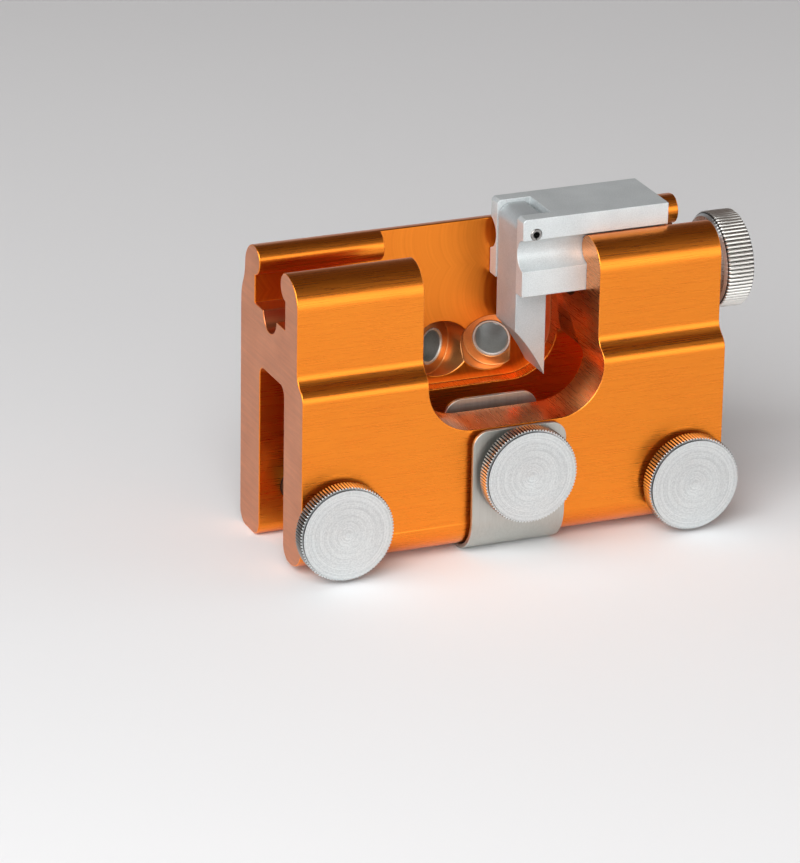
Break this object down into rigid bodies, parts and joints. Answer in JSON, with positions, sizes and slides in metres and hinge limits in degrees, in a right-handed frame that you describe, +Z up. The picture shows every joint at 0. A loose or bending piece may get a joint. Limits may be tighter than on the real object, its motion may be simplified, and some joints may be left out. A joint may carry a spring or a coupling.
{
  "type": "hand chainsaw sharpener",
  "caption": "Extruded body that clamps over a chainsaw bar, with angled guide bushes for a hand-cranked cutter, a chain plate and a screw-adjusted pawl.",
  "frame": {"origin": "middle of the part's bounding box, on the plane it rests on", "axes": "+X along the saw bar towards the adjusting knob, +Y from the thumb screws to the back, +Z up"},
  "size_m": [0.0996, 0.0496, 0.0636],
  "materials": {
    "orange_anodised": "bright orange anodised extrusion, fine lines along its length",
    "clear_anodised": "matt clear anodised",
    "knob_steel": "turned, with straight ridges",
    "bush_steel": "turned",
    "plate_stainless": "satin strip",
    "dark_steel": "dark oxide",
    "tip_brass": "turned"
  },
  "bodies": {
    "frame": {"body": "orange_anodised", "left_guide_bush": "bush_steel", "right_guide_bush": "bush_steel", "left_bar_stop": "dark_steel", "right_bar_stop": "dark_steel", "thrust_washer": "bush_steel", "screw_keeper": "clear_anodised", "keeper_pin": "dark_steel"},
    "left_tip": {"left_clamp_tip": "tip_brass"},
    "left_screw": {"left_clamp_screw": "knob_steel"},
    "right_tip": {"right_clamp_tip": "tip_brass"},
    "right_screw": {"right_clamp_screw": "knob_steel"},
    "plate": {"chain_plate": "plate_stainless", "plate_washer": "bush_steel"},
    "centre_screw": {"plate_screw": "knob_steel", "plate_clip": "dark_steel"},
    "adjuster": {"adjusting_screw": "bush_steel", "adjusting_knob": "knob_steel", "knob_set_screw": "dark_steel"},
    "slide": {"pawl_slide": "clear_anodised", "pawl_pin": "dark_steel"},
    "stop": {"pawl": "clear_anodised"}
  },
  "joints": [
    {"name": "left_tip_slide", "type": "slide", "parent": "frame", "child": "left_tip", "axis": [0, 1, 0], "range_m": [-0.0037, 0.0008]},
    {"name": "left_screw_turn", "type": "hinge", "parent": "left_tip", "child": "left_screw", "pos_m": [-0.04021, -0.0182, 0.0102], "axis": [0, 1, 0], "range_deg": [-1050, 228]},
    {"name": "right_tip_slide", "type": "slide", "parent": "frame", "child": "right_tip", "axis": [0, 1, 0], "range_m": [-0.0037, 0.0008]},
    {"name": "right_screw_turn", "type": "hinge", "parent": "right_tip", "child": "right_screw", "pos_m": [0.03239, -0.0182, 0.0102], "axis": [0, 1, 0], "range_deg": [-1050, 228]},
    {"name": "plate_slide", "type": "slide", "parent": "frame", "child": "plate", "axis": [0, 1, 0], "range_m": [-0.002, 0.0005]},
    {"name": "plate_screw_turn", "type": "hinge", "parent": "plate", "child": "centre_screw", "pos_m": [-0.00321, -0.0182, 0.0176], "axis": [0, 1, 0], "range_deg": [-568, 143]},
    {"name": "adjuster_turn", "type": "hinge", "parent": "frame", "child": "adjuster", "pos_m": [0.04009, -0.00085, 0.0477], "axis": [1, 0, 0], "range_deg": [-546, 1405]},
    {"name": "slide_travel", "type": "slide", "parent": "frame", "child": "slide", "axis": [1, 0, 0], "range_m": [-0.00495, 0.00192]},
    {"name": "pawl_pivot", "type": "hinge", "parent": "slide", "child": "stop", "pos_m": [0.00369, -0.00085, 0.0603], "axis": [0, 1, 0], "range_deg": [0, 45]}
  ],
  "couplings": [
    {"joint": "left_screw_turn", "follows": "left_tip_slide", "rad_per_m": 4947.4},
    {"joint": "right_screw_turn", "follows": "right_tip_slide", "rad_per_m": 4947.4},
    {"joint": "plate_screw_turn", "follows": "plate_slide", "rad_per_m": 4947.4},
    {"joint": "adjuster_turn", "follows": "slide_travel", "rad_per_m": -4947.4}
  ]
}
